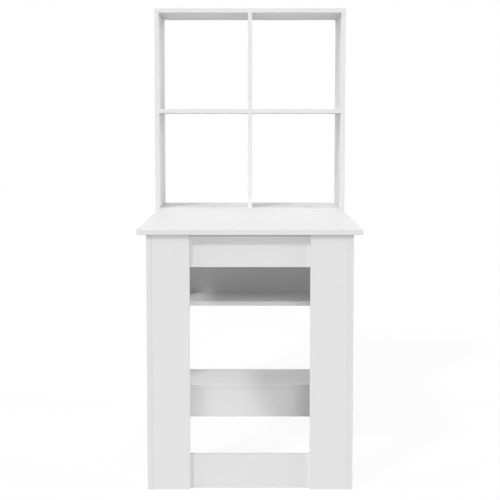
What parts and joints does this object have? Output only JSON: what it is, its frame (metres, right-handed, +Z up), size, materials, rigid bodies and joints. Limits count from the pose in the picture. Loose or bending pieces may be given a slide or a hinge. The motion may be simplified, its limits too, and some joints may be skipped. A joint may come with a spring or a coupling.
{
  "type": "desk with shelves",
  "caption": "White board desk with an open shelf tower at one end and a leg frame of wide boards and rails at the other; a place to sit and work, with room for books.",
  "frame": {"origin": "on the floor, under the centre of the bounding box", "axes": "+X across the desk, to the right when seen from the free end; +Y from the free end to the back of the shelf tower; +Z up"},
  "size_m": [0.66, 1.1, 1.43],
  "materials": {
    "white_board": "matt white melamine face and edge band on chipboard",
    "cam_nut_zinc": "die-cast zinc, dull",
    "cam_bolt_steel": "zinc-plated steel",
    "screw_steel": "yellow-passivated steel",
    "cap_plastic": "white moulded plastic, satin",
    "dowel_beech": "raw beech"
  },
  "bodies": {
    "root": {"back_panel": "white_board", "back_panel_cam_bolts": "cam_bolt_steel", "back_panel_cam_caps": "cap_plastic", "back_panel_cam_nuts": "cam_nut_zinc", "back_panel_dowels": "dowel_beech", "bottom_shelf": "white_board", "bottom_shelf_cam_bolts": "cam_bolt_steel", "bottom_shelf_cam_nuts": "cam_nut_zinc", "bottom_shelf_dowels": "dowel_beech", "cubby_shelf": "white_board", "cubby_shelf_cam_bolts": "cam_bolt_steel", "cubby_shelf_cam_nuts": "cam_nut_zinc", "cubby_shelf_dowels": "dowel_beech", "desktop": "white_board", "desktop_cam_bolts": "cam_bolt_steel", "desktop_cam_nuts": "cam_nut_zinc", "desktop_dowels": "dowel_beech", "divider_dowels": "dowel_beech", "divider_long_dowels": "dowel_beech", "leg_corner_cam_bolts": "cam_bolt_steel", "leg_corner_cam_caps": "cap_plastic", "leg_corner_cam_nuts": "cam_nut_zinc", "leg_corner_dowels": "dowel_beech", "leg_front_left": "white_board", "leg_front_right": "white_board", "leg_side_left": "white_board", "leg_side_right": "white_board", "leg_top_cam_bolts": "cam_bolt_steel", "leg_top_cam_caps": "cap_plastic", "leg_top_cam_nuts": "cam_nut_zinc", "leg_top_dowels": "dowel_beech", "lower_divider": "white_board", "lower_rail": "white_board", "plinth": "white_board", "plinth_cam_bolts": "cam_bolt_steel", "plinth_cam_nuts": "cam_nut_zinc", "plinth_dowels": "dowel_beech", "rail_end_cam_bolts": "cam_bolt_steel", "rail_end_cam_caps": "cap_plastic", "rail_end_cam_nuts": "cam_nut_zinc", "rail_screws": "screw_steel", "rail_top_cam_bolts": "cam_bolt_steel", "rail_top_cam_caps": "cap_plastic", "rail_top_cam_nuts": "cam_nut_zinc", "tower_side_left": "white_board", "tower_side_right": "white_board", "tower_top": "white_board", "tower_top_cam_bolts": "cam_bolt_steel", "tower_top_cam_caps": "cap_plastic", "tower_top_cam_nuts": "cam_nut_zinc", "tower_top_dowels": "dowel_beech", "under_desk_shelf": "white_board", "under_desk_shelf_cam_bolts": "cam_bolt_steel", "under_desk_shelf_cam_nuts": "cam_nut_zinc", "under_desk_shelf_dowels": "dowel_beech", "upper_divider": "white_board", "upper_rail": "white_board"}
  },
  "joints": []
}
